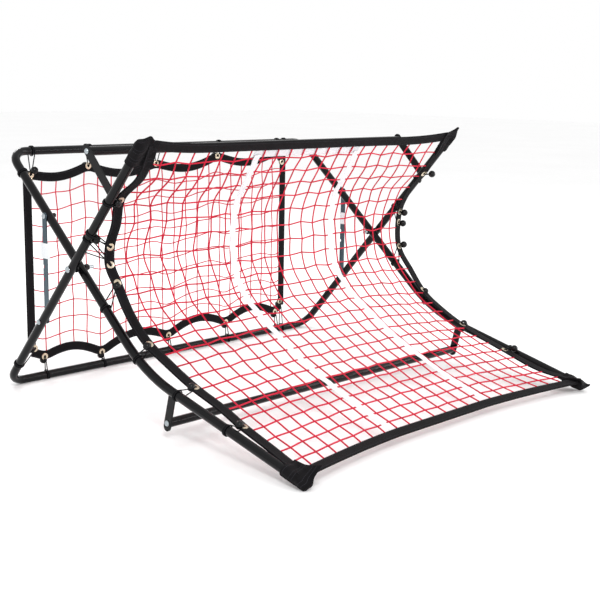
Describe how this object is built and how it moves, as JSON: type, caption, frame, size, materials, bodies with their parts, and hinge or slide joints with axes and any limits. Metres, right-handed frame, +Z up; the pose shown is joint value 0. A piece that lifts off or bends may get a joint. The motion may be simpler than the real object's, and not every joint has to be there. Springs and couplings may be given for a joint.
{
  "type": "pitch back rebounder",
  "caption": "Folding ball rebounder: a curved net and a flat back net held by elastic ties on two bent tube frames that cross like scissors",
  "frame": {"origin": "on the ground, under the middle of the overall box", "axes": "+Z up, X along the fold pivot, the curved net faces -Y and the flat net faces +Y"},
  "size_m": [1.0646, 0.9947, 0.6183],
  "materials": {
    "black_tube": "gloss black powder coat on steel tube and plate",
    "zinc_steel": "bright zinc plate",
    "black_hardware": "black plated nuts",
    "black_plastic": "black nylon",
    "webbing": "black woven webbing",
    "red_net": "red knotless netting with black webbing hems and white target bands",
    "elastic_tie": "black bungee cord with black balls"
  },
  "bodies": {
    "upright_frame": {"upright_rear_bar": "black_tube", "upright_rail_left": "black_tube", "upright_rail_right": "black_tube", "spreader_tube": "black_tube", "spreader_arm_left": "black_tube", "spreader_arm_right": "black_tube", "spreader_bolt_left": "zinc_steel", "spreader_bolt_right": "zinc_steel", "spreader_insert_left": "black_plastic", "spreader_insert_right": "black_plastic", "pivot_bolt_left": "zinc_steel", "pivot_bolt_right": "zinc_steel", "pivot_spacer_left": "black_plastic", "pivot_spacer_right": "black_plastic", "pivot_nut_left": "black_hardware", "pivot_nut_right": "black_hardware", "brace_pin_left": "zinc_steel", "brace_pin_right": "zinc_steel", "pocket_upper_left": "webbing", "pocket_upper_right": "webbing", "front_net_top": "red_net", "front_net_middle": "red_net", "rear_net": "red_net", "upright_tie_left_1": "elastic_tie", "upright_tie_left_2": "elastic_tie", "upright_tie_left_3": "elastic_tie", "upright_tie_right_1": "elastic_tie", "upright_tie_right_2": "elastic_tie", "upright_tie_right_3": "elastic_tie"},
    "ramp_frame": {"ramp_rear_bar": "black_tube", "ramp_rail_left": "black_tube", "ramp_rail_right": "black_tube", "stand_tube": "black_tube", "stand_leg_left": "black_tube", "stand_leg_right": "black_tube", "stand_bolt_left": "zinc_steel", "stand_bolt_right": "zinc_steel", "stand_insert_left": "black_plastic", "stand_insert_right": "black_plastic", "brace_bolt_left": "zinc_steel", "brace_bolt_right": "zinc_steel", "brace_nut_left": "black_hardware", "brace_nut_right": "black_hardware", "pocket_lower_left": "webbing", "pocket_lower_right": "webbing", "front_net_bottom": "red_net", "ramp_tie_left_1": "elastic_tie", "ramp_tie_left_2": "elastic_tie", "ramp_tie_left_3": "elastic_tie", "ramp_tie_left_4": "elastic_tie", "ramp_tie_right_1": "elastic_tie", "ramp_tie_right_2": "elastic_tie", "ramp_tie_right_3": "elastic_tie", "ramp_tie_right_4": "elastic_tie"},
    "left_brace": {"brace_left": "zinc_steel"},
    "right_brace": {"brace_right": "zinc_steel"}
  },
  "joints": [
    {"name": "fold", "type": "hinge", "parent": "upright_frame", "child": "ramp_frame", "pos_m": [0, 0.20717, 0.32519], "axis": [-1, 0, 0], "range_deg": [0, 66], "deforming": ["ramp_tie_left_1", "ramp_tie_left_2", "ramp_tie_left_3", "ramp_tie_left_4", "ramp_tie_right_1", "ramp_tie_right_2", "ramp_tie_right_3", "ramp_tie_right_4", "upright_tie_left_1", "upright_tie_left_2", "upright_tie_left_3", "upright_tie_right_1", "upright_tie_right_2", "upright_tie_right_3", "front_net_middle", "rear_net"]},
    {"name": "left_brace_swing", "type": "hinge", "parent": "ramp_frame", "child": "left_brace", "pos_m": [-0.50585, 0.32923, 0.43018], "axis": [1, 0, 0], "range_deg": [0, 41]},
    {"name": "right_brace_swing", "type": "hinge", "parent": "ramp_frame", "child": "right_brace", "pos_m": [0.50585, 0.32923, 0.43018], "axis": [1, 0, 0], "range_deg": [0, 41]}
  ],
  "couplings": [
    {"joint": "left_brace_swing", "follows": "fold", "ratio": 0.62},
    {"joint": "right_brace_swing", "follows": "fold", "ratio": 0.62}
  ]
}
